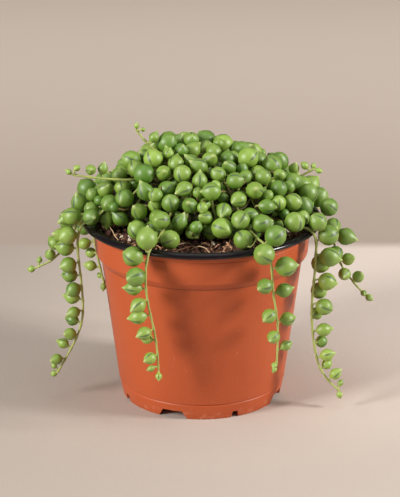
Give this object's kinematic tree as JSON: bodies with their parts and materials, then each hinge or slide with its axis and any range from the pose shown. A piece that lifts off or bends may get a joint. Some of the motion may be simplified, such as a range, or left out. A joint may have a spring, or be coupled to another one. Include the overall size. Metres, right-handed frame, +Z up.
{
  "type": "potted string of pearls",
  "caption": "Trailing succulent with round bead-like leaves, mounded in a tapered two-colour nursery pot, its strings hanging over the rim.",
  "frame": {"origin": "middle of the pot's foot, on the surface that it stands on", "axes": "+Z up along the pot's axis, -Y towards the front of the plant, +X to its right"},
  "size_m": [0.1516, 0.1249, 0.1247],
  "materials": {
    "terracotta_plastic": "satin",
    "black_plastic": "satin",
    "potting_mix": "rough",
    "old_growth": "satin",
    "young_growth": "glossy"
  },
  "bodies": {
    "root": {"creeper_1": "young_growth", "creeper_10": "young_growth", "creeper_11": "young_growth", "creeper_12": "young_growth", "creeper_13": "young_growth", "creeper_14": "young_growth", "creeper_2": "young_growth", "creeper_3": "young_growth", "creeper_4": "young_growth", "creeper_5": "young_growth", "creeper_6": "young_growth", "creeper_7": "young_growth", "creeper_8": "young_growth", "creeper_9": "young_growth", "heap": "old_growth", "liner": "black_plastic", "pot": "terracotta_plastic", "shoot_left": "young_growth", "shoot_right": "young_growth", "shoot_top": "young_growth", "soil": "potting_mix", "trail_back": "young_growth", "trail_back_left": "young_growth", "trail_back_right": "young_growth", "trail_front_left": "young_growth", "trail_front_right": "young_growth", "trail_left_back": "young_growth", "trail_left_long": "young_growth", "trail_left_outer": "young_growth", "trail_right": "young_growth", "trail_right_back": "young_growth", "trail_right_outer": "young_growth"}
  },
  "joints": []
}
